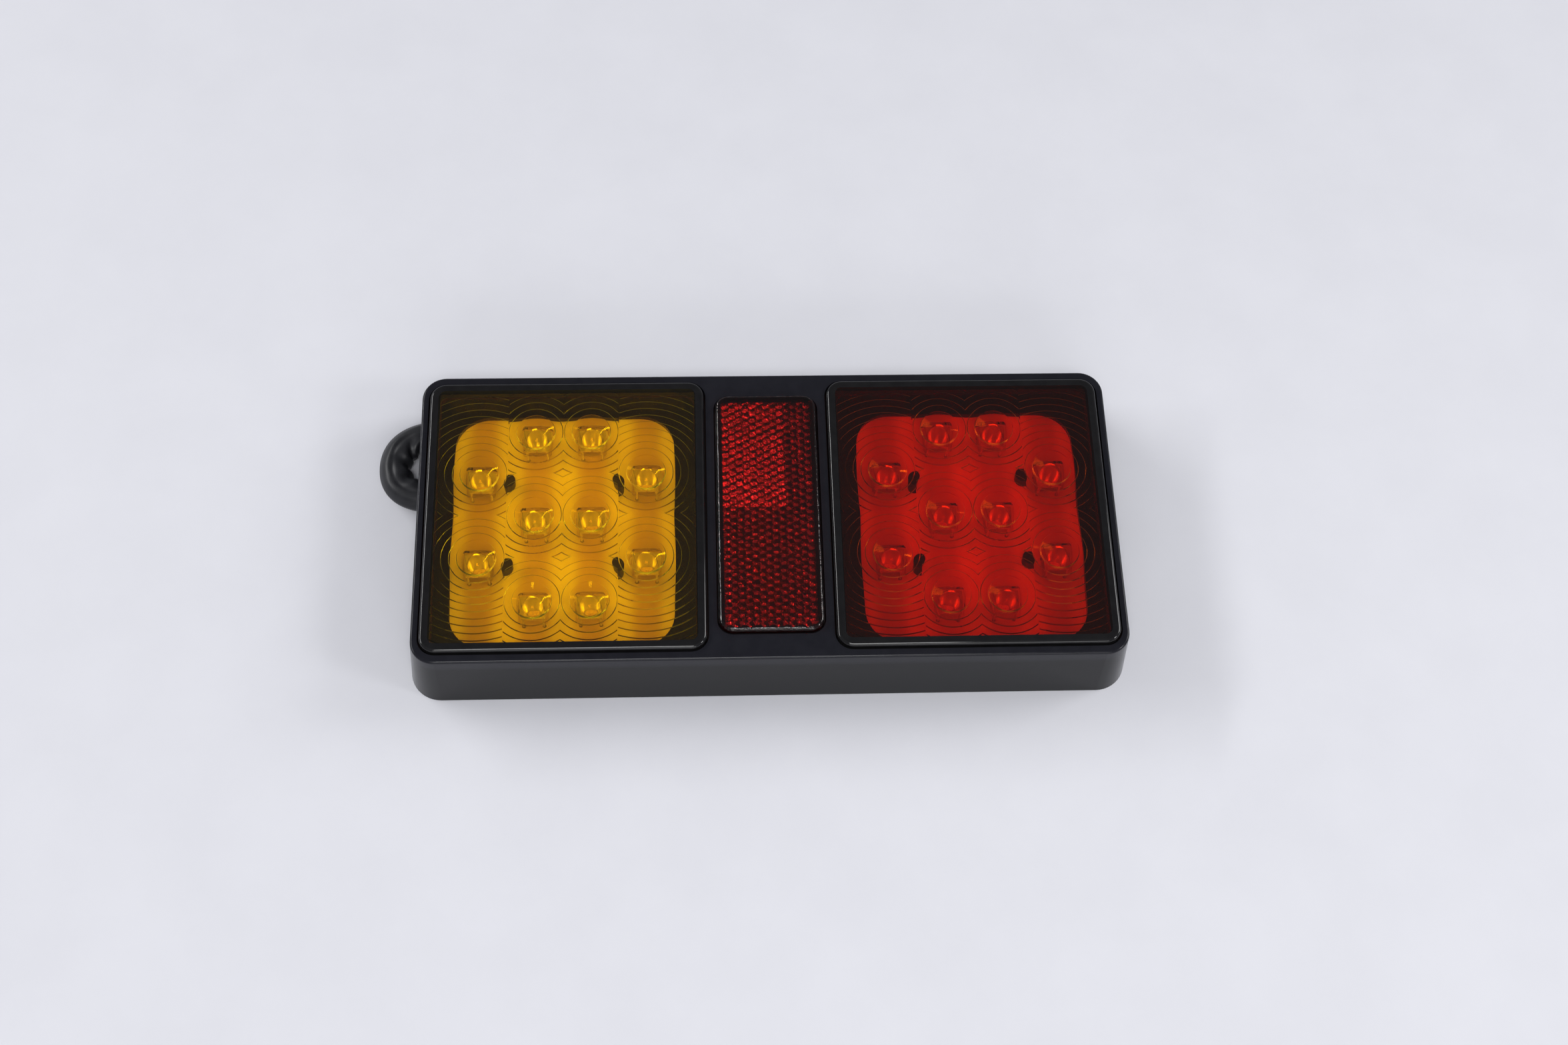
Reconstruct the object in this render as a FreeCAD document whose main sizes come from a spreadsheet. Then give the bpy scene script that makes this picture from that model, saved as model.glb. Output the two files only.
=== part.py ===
"""Trailer tail light: an amber lamp, a red lamp and a red reflex reflector in one black housing.

Frame: the origin is at the centre of the housing's open back, +Z points out of the lenses, +X runs
along the housing from the amber lamp to the red lamp, and +Y runs across it. Millimetres.
"""
import FreeCAD, Part
import math
import os
import re

import Sketcher

VALUES = {
    # housing
    "base_length": 204.0, "base_width": 94.8, "base_corner": 8.8, "housing_height": 22.2,
    "wall_taper": 5.15, "edge_round": 0.8, "wall_thick": 2.0,
    "hollow_top": 16.7, "ledge_height": 18.7,
    # lamp pockets, chambers and board recesses
    "lamp_centre": 57.8, "pattern_centre": 58.75, "lens_gap": 0.5,
    "well_length": 73.2, "well_width": 78.8, "well_corner": 3.0, "floor_height": 13.8, "floor_thick": 1.2,
    "window_length": 62.8, "window_width": 72.0, "window_corner": 9.6, "window_shift": 0.9,
    "recess_length": 69.4, "recess_width": 80.0, "recess_corner": 10.6, "chamber_wall": 1.8,
    "board_top": 11.8, "board_thick": 1.2, "potting_back": 8.5, "board_gap": 0.2,
    # lenses
    "lens_length": 79.6, "lens_width": 85.2, "lens_corner": 4.6, "lens_front": 23.6,
    "lens_round": 1.0, "lens_plate": 2.6, "lens_skirt": 2.8, "seal_thick": 0.3,
    "ring_first": 5.45, "ring_pitch": 2.22, "ring_depth": 0.55, "ring_count": 12,
    # reflector
    "reflector_length": 29.6, "reflector_width": 75.4, "reflector_corner": 4.0,
    "reflector_front": 24.0, "reflector_round": 1.2, "reflector_plate": 3.0,
    "reflector_skirt": 1.8, "reflector_gap": 0.4, "backplate_thick": 1.4,
    # LED pattern and packages
    "column_inner": 8.0, "column_outer": 23.85, "row_pitch": 26.8,
    "package_side": 7.62, "package_height": 3.0, "standoff": 3.3, "dome_radius": 2.55,
    "frame_length": 2.9, "frame_width": 5.8, "frame_thick": 0.4, "frame_rise": 1.0,
    "frame_split": 0.3, "cup_radius": 1.5, "cup_height": 0.9, "cup_floor": 0.7,
    "pin_pitch": 5.08, "pin_side": 0.5, "pin_hole": 0.5,
    # posts on the boards
    "post_radius": 2.1, "post_height": 4.2, "post_column": 15.9,
    # parts behind the boards
    "resistor_length": 3.2, "resistor_width": 1.6, "resistor_height": 0.6, "resistor_step": 8.0,
    "diode_length": 4.3, "diode_width": 2.6, "diode_height": 1.2,
    # mounting inserts
    "insert_offset": 26.0, "insert_radius": 4.0, "insert_bore": 2.5, "insert_length": 12.0,
    "boss_radius": 5.6, "boss_relief": 0.6,
    # cable outlet and grommet
    "notch_low": 10.4, "notch_high": 41.6, "notch_height": 9.2, "notch_corner": 2.0,
    "rib_left": 19.5, "rib_thick": 2.0, "rib_inner": 28.6, "rib_outer": 45.6, "rib_foot": 0.6,
    "cable_row": 37.4, "cable_rise": 6.6, "grommet_neck": 5.2, "grommet_flange": 5.9,
    "flange_thick": 1.2, "relief_length": 3.6, "relief_wide": 5.4, "relief_narrow": 4.7,
    # lead
    "sleeve_radius": 4.1, "core_radius": 0.95, "copper_radius": 0.55, "link_radius": 0.9,
}

doc = FreeCAD.newDocument("trailer_tail_light")
sheet = doc.addObject("Spreadsheet::Sheet", "Sheet")
for row, (alias, value) in enumerate(VALUES.items(), start=1):
    sheet.set(f"A{row}", alias)
    sheet.set(f"B{row}", str(value))
    sheet.setAlias(f"B{row}", alias)
doc.recompute()

NODES = {}
SIDES = {"amber": -1, "red": 1}


def size(expression):
    """The value of an expression of the sheet's aliases, numbers, + - * / and brackets."""
    tokens = re.findall(r"[A-Za-z_]+|[0-9.]+|[-+*/()]", expression)

    def factor():
        token = tokens.pop(0)
        if token == "(":
            value = total()
            tokens.pop(0)
            return value
        if token == "-":
            return -factor()
        return VALUES[token] if token in VALUES else float(token)

    def product():
        value = factor()
        while tokens and tokens[0] in "*/":
            value = value * factor() if tokens.pop(0) == "*" else value / factor()
        return value

    def total():
        value = product()
        while tokens and tokens[0] in "+-":
            value = value + product() if tokens.pop(0) == "+" else value - product()
        return value

    return total()


def bound(expression):
    """The same expression, with each alias read from the sheet."""
    return re.sub(r"[A-Za-z_]+", lambda word: f"Sheet.{word.group()}", expression)


def node(name, obj):
    """Names a sub-part and keeps it for the export."""
    obj.Label = name
    NODES[name] = obj
    return obj


def bind(obj, **sizes):
    """Binds an object's properties to expressions of the sheet."""
    for prop, expression in sizes.items():
        obj.setExpression(prop.replace("__", "."), bound(expression))
    return obj


def place(obj, x="0", y="0", z="0"):
    """Binds an object's position."""
    for axis, expression in (("x", x), ("y", y), ("z", z)):
        obj.setExpression(f"Placement.Base.{axis}", bound(expression))
    return obj


# ---------------------------------------------------------------- sketches and PartDesign features
def new_body(name):
    body = doc.addObject("PartDesign::Body", name + "_body")
    return body


def plane_of(body, role):
    return next(f for f in body.Origin.OriginFeatures if f.Role == role)


def new_sketch(body, name, role="XY_Plane", offset="0"):
    sketch = body.newObject("Sketcher::SketchObject", name)
    sketch.AttachmentSupport = [(plane_of(body, role), "")]
    sketch.MapMode = "FlatFace"
    sketch.setExpression("AttachmentOffset.Base.z", bound(offset))
    return sketch


def fix(sketch, label, constraint, expression):
    """Adds a named size to a sketch and binds it."""
    index = sketch.addConstraint(constraint)
    sketch.renameConstraint(index, label)
    sketch.setExpression(f"Constraints.{label}", bound(expression))


def rounded_rectangle(sketch, length, width, corner, x="0", y="0"):
    """A fully constrained rectangle with round corners about the point (x, y)."""
    px, py = size(x), size(y)
    a, b, r = size(length) / 2, size(width) / 2, size(corner)
    line = lambda x0, y0, x1, y1: sketch.addGeometry(
        Part.LineSegment(FreeCAD.Vector(px + x0, py + y0, 0), FreeCAD.Vector(px + x1, py + y1, 0)))
    line(-a + r, -b, a - r, -b)
    line(a, -b + r, a, b - r)
    line(a - r, b, -a + r, b)
    line(-a, b - r, -a, -b + r)
    centres = ((a - r, -b + r, 270), (a - r, b - r, 0), (-a + r, b - r, 90), (-a + r, -b + r, 180))
    for cx, cy, start in centres:
        circle = Part.Circle(FreeCAD.Vector(px + cx, py + cy, 0), FreeCAD.Vector(0, 0, 1), r)
        sketch.addGeometry(Part.ArcOfCircle(circle, math.radians(start), math.radians(start + 90)))
    add = lambda *args: sketch.addConstraint(Sketcher.Constraint(*args))
    for i in range(4):
        add("Tangent", i, 2, 4 + i, 1)
        add("Tangent", 4 + i, 2, (i + 1) % 4, 1)
    for i in (0, 2):
        add("Horizontal", i)
        add("Vertical", i + 1)
    for i in (5, 6, 7):
        add("Equal", 4, i)
    make = Sketcher.Constraint
    fix(sketch, "corner", make("Radius", 4, r), corner)
    fix(sketch, "length", make("DistanceX", 3, 1, 1, 1, 2 * a), length)
    fix(sketch, "width", make("DistanceY", 0, 1, 2, 1, 2 * b), width)
    fix(sketch, "right", make("DistanceX", -1, 1, 1, 1, px + a), f"{x} + ({length})/2")
    fix(sketch, "top", make("DistanceY", -1, 1, 2, 1, py + b), f"{y} + ({width})/2")
    return sketch


def circle(sketch, radius, x="0", y="0"):
    """A fully constrained circle about the point (x, y)."""
    px, py = size(x), size(y)
    i = sketch.addGeometry(
        Part.Circle(FreeCAD.Vector(px, py, 0), FreeCAD.Vector(0, 0, 1), size(radius)))
    make = Sketcher.Constraint
    fix(sketch, "radius", make("Radius", i, size(radius)), radius)
    fix(sketch, "across", make("DistanceX", -1, 1, i, 3, px), x)
    fix(sketch, "up", make("DistanceY", -1, 1, i, 3, py), y)
    return sketch


def extrude(body, kind, sketch, length, up=True):
    """A Pad or a Pocket of the given length, along or against the sketch's normal."""
    feature = body.newObject(f"PartDesign::{kind}", f"{sketch.Name}_{kind}")
    feature.Profile = sketch
    feature.setExpression("Length", bound(length))
    feature.Reversed = up if kind == "Pocket" else not up
    return feature


def pad(body, sketch, length, up=True):
    return extrude(body, "Pad", sketch, length, up)


def pocket(body, sketch, length, up=True):
    """A pocket, checked to have removed material."""
    doc.recompute()
    before = body.Shape.Volume
    feature = extrude(body, "Pocket", sketch, length, up)
    doc.recompute()
    if body.Shape.Volume >= before - 1e-6:
        raise RuntimeError(f"{feature.Name} removes nothing")
    return feature


def round_edges(body, base, height, radius):
    """Rounds every edge of the base feature that lies flat at the given height."""
    doc.recompute()
    flat = []
    for i, edge in enumerate(base.Shape.Edges, start=1):
        if all(abs(v.Z - height) < 1e-4 for v in edge.Vertexes):
            box = edge.BoundBox
            if box.ZLength < 1e-4:
                flat.append(f"Edge{i}")
    feature = body.newObject("PartDesign::Fillet", f"{body.Name}_round")
    feature.Base = (base, flat)
    feature.setExpression("Radius", bound(radius))
    return feature


# ---------------------------------------------------------------- Part primitives
def box(name, length, width, height, x, y, z):
    """A box centred on (x, y) with its foot at z."""
    obj = doc.addObject("Part::Box", name)
    bind(obj, Length=length, Width=width, Height=height)
    return place(obj, f"{x} - ({length})/2", f"{y} - ({width})/2", z)


def cylinder(name, radius, height, x, y, z):
    obj = doc.addObject("Part::Cylinder", name)
    bind(obj, Radius=radius, Height=height)
    return place(obj, x, y, z)


def cylinder_x(name, radius, length, x, y, z):
    """A cylinder that lies along +X from x."""
    obj = doc.addObject("Part::Cylinder", name)
    obj.Placement.Rotation = FreeCAD.Rotation(FreeCAD.Vector(0, 1, 0), 90)
    bind(obj, Radius=radius, Height=length)
    return place(obj, x, y, z)


def joined(kind, name, parts):
    """A Part::MultiFuse or a Part::Compound of parts."""
    obj = doc.addObject(f"Part::{kind}", name)
    if kind == "Compound":
        obj.Links = parts
    else:
        obj.Shapes = parts
    return obj


def cut(name, base, tool):
    obj = doc.addObject("Part::Cut", name)
    obj.Base = base
    obj.Tool = tool
    return obj


# ---------------------------------------------------------------- housing
def lamp_x(side, alias):
    return alias if side > 0 else f"(0 - {alias})"


def make_housing():
    body = new_body("housing")
    base = new_sketch(body, "base_outline")
    rounded_rectangle(base, "base_length", "base_width", "base_corner")
    block = pad(body, base, "housing_height")
    block.setExpression("TaperAngle", bound("0 - wall_taper"))
    round_edges(body, block, VALUES["housing_height"], "edge_round")
    hollow = new_sketch(body, "back_hollow")
    rounded_rectangle(hollow, "base_length - 2*wall_thick", "base_width - 2*wall_thick",
                      "base_corner - wall_thick")
    inside = pocket(body, hollow, "hollow_top")
    inside.setExpression("TaperAngle", bound("0 - wall_taper"))

    for colour, side in SIDES.items():
        centre, pattern = lamp_x(side, "lamp_centre"), lamp_x(side, "pattern_centre")
        wall = new_sketch(body, f"{colour}_chamber", offset="potting_back")
        rounded_rectangle(wall, "recess_length + 2*chamber_wall", "recess_width + 2*chamber_wall",
                          "recess_corner + chamber_wall", x=pattern)
        pad(body, wall, "hollow_top - potting_back + 0.5")
        shell = new_sketch(body, f"{colour}_well_wall", offset="floor_height - floor_thick")
        rounded_rectangle(shell, "well_length + 2*chamber_wall", "well_width + 2*chamber_wall",
                          "well_corner + chamber_wall", x=centre)
        pad(body, shell, "hollow_top - floor_height + floor_thick + 0.5")
        rim = new_sketch(body, f"{colour}_pocket", offset="housing_height")
        rounded_rectangle(rim, "lens_length + 2*lens_gap", "lens_width + 2*lens_gap",
                          "lens_corner + lens_gap", x=centre)
        pocket(body, rim, "housing_height - ledge_height", up=False)
        well = new_sketch(body, f"{colour}_well", offset="ledge_height")
        rounded_rectangle(well, "well_length", "well_width", "well_corner", x=centre)
        pocket(body, well, "ledge_height - floor_height", up=False)
        window = new_sketch(body, f"{colour}_window", offset="floor_height")
        rounded_rectangle(window, "window_length", "window_width", "window_corner", x=pattern,
                          y="0 - window_shift")
        pocket(body, window, "floor_height - board_top + 0.1", up=False)
        recess = new_sketch(body, f"{colour}_recess", offset="board_top")
        rounded_rectangle(recess, "recess_length", "recess_width", "recess_corner", x=pattern)
        pocket(body, recess, "board_top - potting_back + 1", up=False)

    rim = new_sketch(body, "reflector_pocket", offset="housing_height")
    rounded_rectangle(rim, "reflector_length + 2*reflector_gap", "reflector_width + 2*reflector_gap",
                      "reflector_corner + reflector_gap")
    pocket(body, rim, "housing_height - ledge_height", up=False)

    for name, across in (("upper", "insert_offset"), ("lower", "0 - insert_offset")):
        boss = new_sketch(body, f"{name}_boss")
        circle(boss, "boss_radius", y=across)
        pad(body, boss, "hollow_top + 0.5")
        hole = new_sketch(body, f"{name}_boss_hole")
        circle(hole, "insert_radius", y=across)
        pocket(body, hole, "insert_length + boss_relief")

    rib = new_sketch(body, "grommet_rib", offset="rib_foot")
    rounded_rectangle(rib, "rib_thick", "rib_outer - rib_inner", "0.3", x="rib_left + rib_thick/2",
                      y="rib_outer/2 + rib_inner/2")
    pad(body, rib, "hollow_top - rib_foot + 0.5")
    hole = new_sketch(body, "grommet_hole", role="YZ_Plane", offset="rib_left - 1")
    circle(hole, "grommet_neck", x="cable_row", y="cable_rise")
    pocket(body, hole, "rib_thick + 2")

    notch = new_sketch(body, "cable_notch", role="YZ_Plane", offset="0 - base_length/2 - 2")
    rounded_rectangle(notch, "notch_high - notch_low", "2*notch_height", "notch_corner",
                      x="notch_high/2 + notch_low/2")
    pocket(body, notch, "7")
    node("housing", body)


# ---------------------------------------------------------------- lenses
def skirted_plate(name, side, length, width, corner, skirt, plate, front, rounding):
    """A plate with a skirt behind it: the common shape of both lenses and the reflector."""
    x = lamp_x(side, "lamp_centre") if side else "0"
    body = new_body(name)
    outline = new_sketch(body, f"{name}_outline", offset="ledge_height + seal_thick")
    rounded_rectangle(outline, length, width, corner, x=x)
    block = pad(body, outline, f"{front} - ledge_height - seal_thick")
    doc.recompute()
    round_edges(body, block, VALUES[front], rounding)
    inside = new_sketch(body, f"{name}_inside", offset="ledge_height + seal_thick")
    rounded_rectangle(inside, f"{length} - 2*{skirt}", f"{width} - 2*{skirt}",
                      f"{corner} - {skirt}*0.8", x=x)
    pocket(body, inside, f"{front} - {plate} - ledge_height - seal_thick")
    return body


def tooth_profile():
    """Half section of the grooves: a shallow dome, then cones of equal depth, one per ring."""
    base, depth = VALUES["lens_front"] - VALUES["lens_plate"], VALUES["ring_depth"]
    first, pitch = VALUES["ring_first"], VALUES["ring_pitch"]
    at = lambda r, up: FreeCAD.Vector(r, 0, base + up)
    below = -depth
    edges = [Part.makeLine(at(0, below), at(0, 0)),
             Part.Arc(at(0, 0), at(first / 2, depth / 4), at(first, depth)).toShape()]
    radius = first
    for _ in range(int(VALUES["ring_count"])):
        edges.append(Part.makeLine(at(radius, depth), at(radius, 0)))
        edges.append(Part.makeLine(at(radius, 0), at(radius + pitch, depth)))
        radius += pitch
    edges.append(Part.makeLine(at(radius, depth), at(radius, below)))
    edges.append(Part.makeLine(at(radius, below), at(0, below)))
    return Part.Face(Part.Wire(edges))


def lamp_cells(side):
    """(x, y, low x, high x, low y, high y) of each LED's field on the lens."""
    centre, pattern = side * VALUES["lamp_centre"], side * VALUES["pattern_centre"]
    half_x = VALUES["lens_length"] / 2 - VALUES["lens_skirt"]
    half_y = VALUES["lens_width"] / 2 - VALUES["lens_skirt"]
    split, pitch = VALUES["post_column"], VALUES["row_pitch"]
    cells = []
    for hand in (-1, 1):
        inner = sorted((pattern, pattern + hand * split))
        outer = sorted((pattern + hand * split, centre + hand * half_x))
        for k in (1, 0, -1):
            low = -half_y if k < 0 else (k - 0.5) * pitch
            high = half_y if k > 0 else (k + 0.5) * pitch
            cells.append((pattern + hand * VALUES["column_inner"], k * pitch, *inner, low, high))
        for k in (0.5, -0.5):
            low, high = (0, half_y) if k > 0 else (-half_y, 0)
            cells.append((pattern + hand * VALUES["column_outer"], k * pitch, *outer, low, high))
    return cells


def make_relief(name, side):
    """The grooves to take out of the lens's inner face: one set of rings per LED's field."""
    profile, base = tooth_profile(), VALUES["lens_front"] - VALUES["lens_plate"]
    depth = VALUES["ring_depth"]
    solids = []
    for x, y, x0, x1, y0, y1 in lamp_cells(side):
        rings = profile.revolve(FreeCAD.Vector(0, 0, 0), FreeCAD.Vector(0, 0, 1), 360)
        rings.translate(FreeCAD.Vector(x, y, 0))
        field = Part.makeBox(x1 - x0, y1 - y0, 4 * depth, FreeCAD.Vector(x0, y0, base - depth))
        solids.append(rings.common(field))
    relief = doc.addObject("Part::Feature", f"{name}_relief")
    relief.Shape = Part.makeCompound(solids)
    return relief


def make_lens(colour, side):
    name = f"{colour}_lens"
    body = skirted_plate(name, side, "lens_length", "lens_width", "lens_corner", "lens_skirt",
                         "lens_plate", "lens_front", "lens_round")
    doc.recompute()
    node(name, cut(f"{name}_cut", body, make_relief(name, side)))
    make_seal(f"{colour}_lens_seal", lamp_x(side, "lamp_centre"), "lens_length", "lens_width",
              "lens_corner", "lens_skirt")


def make_seal(name, x, length, width, corner, skirt):
    """The bead of sealant between a skirt and its ledge."""
    body = new_body(name)
    outline = new_sketch(body, f"{name}_outline", offset="ledge_height")
    rounded_rectangle(outline, length, width, corner, x=x)
    pad(body, outline, "seal_thick")
    inside = new_sketch(body, f"{name}_inside", offset="ledge_height")
    rounded_rectangle(inside, f"{length} - 2*{skirt}", f"{width} - 2*{skirt}",
                      f"{corner} - {skirt}*0.8", x=x)
    pocket(body, inside, "seal_thick")
    node(name, body)


def make_reflector():
    body = skirted_plate("reflector_lens", 0, "reflector_length", "reflector_width",
                         "reflector_corner", "reflector_skirt", "reflector_plate",
                         "reflector_front", "reflector_round")
    node("reflector_lens", body)
    make_seal("reflector_seal", "0", "reflector_length", "reflector_width", "reflector_corner",
              "reflector_skirt")
    back = new_body("reflector_backplate")
    outline = new_sketch(back, "backplate_outline", offset="ledge_height")
    rounded_rectangle(outline, "reflector_length - 2*reflector_skirt - 0.4",
                      "reflector_width - 2*reflector_skirt - 0.4", "reflector_corner/2", x="0")
    pad(back, outline, "backplate_thick")
    node("reflector_backplate", back)


# ---------------------------------------------------------------- boards and LEDs
def led_places(side):
    """(x, y) of each LED, as expressions."""
    pattern = lamp_x(side, "pattern_centre")
    places = []
    for sign in ("-", "+"):
        places += [(f"{pattern} {sign} column_outer", f"{k}*row_pitch") for k in (0.5, -0.5)]
        places += [(f"{pattern} {sign} column_inner", f"{k}*row_pitch") for k in (1, 0, -1)]
    return places


def lead_frame(name, x, y):
    """Two plates, one with the cup, and four pins that go down through the board."""
    halves = []
    rise = "board_top + standoff + frame_rise"
    for sign in ("-", "+"):
        tag = f"{name}_{'left' if sign == '-' else 'right'}"
        middle = f"{x} {sign} frame_length/2 {sign} frame_split/2"
        parts = [box(f"{tag}_plate", "frame_length", "frame_width", "frame_thick", middle, y, rise)]
        for k, end in enumerate(("-", "+")):
            parts.append(box(f"{tag}_pin{k}", "pin_side", "pin_side",
                             "standoff + frame_rise + board_thick + frame_thick/2",
                             f"{x} {sign} pin_pitch/2", f"{y} {end} pin_pitch/2",
                             "board_top - board_thick"))
        halves.append(joined("MultiFuse", tag, parts))
    return halves


def make_led(name, x, y, halves):
    """A square clear package with a dome, moulded round its lead frame."""
    foot = "board_top + standoff"
    block = box(f"{name}_block", "package_side", "package_side", "package_height", x, y, foot)
    dome = doc.addObject("Part::Sphere", f"{name}_dome")
    bind(dome, Radius="dome_radius")
    place(dome, x, y, f"{foot} + package_height")
    whole = joined("MultiFuse", f"{name}_whole", [block, dome])
    cup = cylinder(f"{name}_cup", "cup_radius", "cup_height", x, y,
                   f"{foot} + frame_rise + frame_thick")
    tool = joined("MultiFuse", f"{name}_tool", halves + [cup])
    node(name, cut(f"{name}_cut", whole, tool))
    ring = doc.addObject("Part::Cone", f"{name}_dish")
    bind(ring, Radius1="cup_floor", Radius2="cup_radius - 0.1", Height="cup_height")
    place(ring, x, y, f"{foot} + frame_rise + frame_thick")
    return cut(f"{name}_cup_ring", cup, ring)


def make_board(colour, side):
    """A white board with its LEDs, posts, resistors, diode and potting."""
    pattern = lamp_x(side, "pattern_centre")
    body = new_body(f"{colour}_circuit_board")
    outline = new_sketch(body, f"{colour}_board_outline", offset="board_top - board_thick")
    rounded_rectangle(outline, "recess_length - 2*board_gap", "recess_width - 2*board_gap",
                      "recess_corner - board_gap", x=pattern)
    pad(body, outline, "board_thick")
    frames, holes = [], []
    for i, (x, y) in enumerate(led_places(side), start=1):
        name = f"{colour}_led_{i}"
        halves = lead_frame(name, x, y)
        cup = make_led(name, x, y, halves)
        frames += halves + [cup]
        for a in ("-", "+"):
            for b in ("-", "+"):
                holes.append(cylinder(f"{name}_hole{len(holes)}", "pin_hole", "board_thick",
                                      f"{x} {a} pin_pitch/2", f"{y} {b} pin_pitch/2",
                                      "board_top - board_thick"))
    tool = joined("Compound", f"{colour}_board_holes", holes)
    node(f"{colour}_circuit_board", cut(f"{colour}_board_cut", body, tool))
    node(f"{colour}_led_frames", joined("Compound", f"{colour}_frames", frames))
    posts = [cylinder(f"{colour}_post{a}{b}", "post_radius", "post_height",
                      f"{pattern} {a} post_column", f"0 {b} row_pitch/2", "board_top")
             for a in "-+" for b in "-+"]
    node(f"{colour}_board_posts", joined("Compound", f"{colour}_posts", posts))
    make_back_of_board(colour, pattern)


def make_back_of_board(colour, pattern):
    """Resistors and a protection diode on the back, covered by potting compound."""
    under = "board_top - board_thick"
    resistors = [box(f"{colour}_resistor{k}", "resistor_length", "resistor_width", "resistor_height",
                     f"{pattern} + {k}*resistor_step", "0 - row_pitch/2", f"{under} - resistor_height")
                 for k in (-2, -1, 0, 1, 2)]
    chips = node(f"{colour}_resistors", joined("Compound", f"{colour}_chips", resistors))
    diode = node(f"{colour}_diode", box(f"{colour}_diode_box", "diode_length", "diode_width",
                                        "diode_height", pattern, "row_pitch/2",
                                        f"{under} - diode_height"))
    fill = new_body(f"{colour}_potting_fill")
    outline = new_sketch(fill, f"{colour}_potting_outline", offset="potting_back")
    rounded_rectangle(outline, "recess_length", "recess_width", "recess_corner", x=pattern)
    pad(fill, outline, "board_top - board_thick - potting_back")
    tool = joined("Compound", f"{colour}_potting_tool", [chips, diode])
    node(f"{colour}_potting", cut(f"{colour}_potting_cut", fill, tool))


# ---------------------------------------------------------------- inserts and grommet
def make_inserts():
    for name, across in (("upper_insert", "insert_offset"), ("lower_insert", "0 - insert_offset")):
        outer = cylinder(f"{name}_outer", "insert_radius", "insert_length", "0", across, "0")
        bore = cylinder(f"{name}_bore", "insert_bore", "insert_length", "0", across, "0")
        node(name, cut(f"{name}_cut", outer, bore))


def make_grommet():
    """A rubber grommet in the rib and a short tapered boot on the lead."""
    neck = cylinder_x("grommet_neck_part", "grommet_neck", "rib_thick", "rib_left", "cable_row",
                      "cable_rise")
    left = cylinder_x("grommet_left", "grommet_flange", "flange_thick", "rib_left - flange_thick",
                      "cable_row", "cable_rise")
    right = cylinder_x("grommet_right", "grommet_flange", "flange_thick", "rib_left + rib_thick",
                       "cable_row", "cable_rise")
    bore = cylinder_x("grommet_bore", "sleeve_radius", "rib_thick + 2*flange_thick",
                      "rib_left - flange_thick", "cable_row", "cable_rise")
    whole = joined("MultiFuse", "grommet_whole", [neck, left, right])
    node("cable_grommet", cut("grommet_cut", whole, bore))
    cone = doc.addObject("Part::Cone", "relief_cone")
    cone.Placement.Rotation = FreeCAD.Rotation(FreeCAD.Vector(0, 1, 0), 90)
    bind(cone, Radius1="relief_narrow", Radius2="relief_wide", Height="relief_length")
    place(cone, "rib_left - flange_thick - relief_length", "cable_row", "cable_rise")
    hole = cylinder_x("relief_bore", "sleeve_radius", "relief_length",
                      "rib_left - flange_thick - relief_length", "cable_row", "cable_rise")
    node("cable_strain_relief", cut("relief_cut", cone, hole))


# ---------------------------------------------------------------- lead
SLEEVE_ROUTE = [
    (22.0, 37.4, 6.6), (8.0, 37.4, 6.6), (-18.0, 36.4, 4.2), (-50.0, 37.4, 4.2), (-78.0, 36.4, 4.2),
    (-110.1, 36.8, 4.2), (-110.1, 15.2, 4.2), (-78.0, 15.2, 4.2), (-38.0, 16.4, 4.2),
    (4.0, 15.2, 4.2), (36.0, 16.0, 4.2), (64.0, 15.5, 4.2), (80.0, -12.2, 4.2), (64.0, -39.9, 4.2),
    (30.0, -39.4, 4.2),
]
CORE_ENDS = {
    "earth": (-1.5, 2.6, -43.0, 1.6), "tail": (1.5, 2.6, -39.6, 1.6),
    "stop": (-1.5, 5.6, -36.4, 2.6), "turn": (1.5, 5.6, -33.2, 2.6),
}


def rounded_path(points):
    """Straight runs joined by tangent arcs, with the arcs' radii."""
    share = 0.45
    vectors = [FreeCAD.Vector(*p) for p in points]
    edges, radii, start = [], [], vectors[0]
    for before, corner, after in zip(vectors, vectors[1:], vectors[2:]):
        a, b = (before - corner), (after - corner)
        shorter = min(a.Length, b.Length)
        a.normalize()
        b.normalize()
        half_turn = (math.pi - a.getAngle(b)) / 2
        reach = share * shorter
        radius = reach / math.tan(half_turn)
        first, last = corner + a * reach, corner + b * reach
        inward = (a + b).normalize()
        middle = corner + inward * (radius / math.cos(half_turn) - radius)
        edges.append(Part.makeLine(start, first))
        edges.append(Part.Arc(first, middle, last).toShape())
        radii.append(radius)
        start = last
    edges.append(Part.makeLine(start, vectors[-1]))
    return Part.Wire(edges), radii


def make_tube(name, points, radius):
    """A round solid along the rounded path."""
    path, radii = rounded_path(points)
    direction = FreeCAD.Vector(*points[1]) - FreeCAD.Vector(*points[0])
    ring = Part.Wire(Part.makeCircle(radius, FreeCAD.Vector(*points[0]), direction))
    solid = path.makePipeShell([ring], True, False)
    expected = math.pi * radius ** 2 * path.Length
    print(f"{name}: length {path.Length:.1f}, radii {[round(r, 1) for r in radii]}, "
          f"volume {solid.Volume:.1f} of {expected:.1f}")
    if abs(solid.Volume - expected) > 0.01 * expected or min(radii, default=radius * 2) <= radius:
        raise RuntimeError(f"{name}: the tube's volume or bend is wrong")
    tube = doc.addObject("Part::Feature", name + "_tube")
    tube.Shape = solid
    return node(name, tube)


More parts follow.
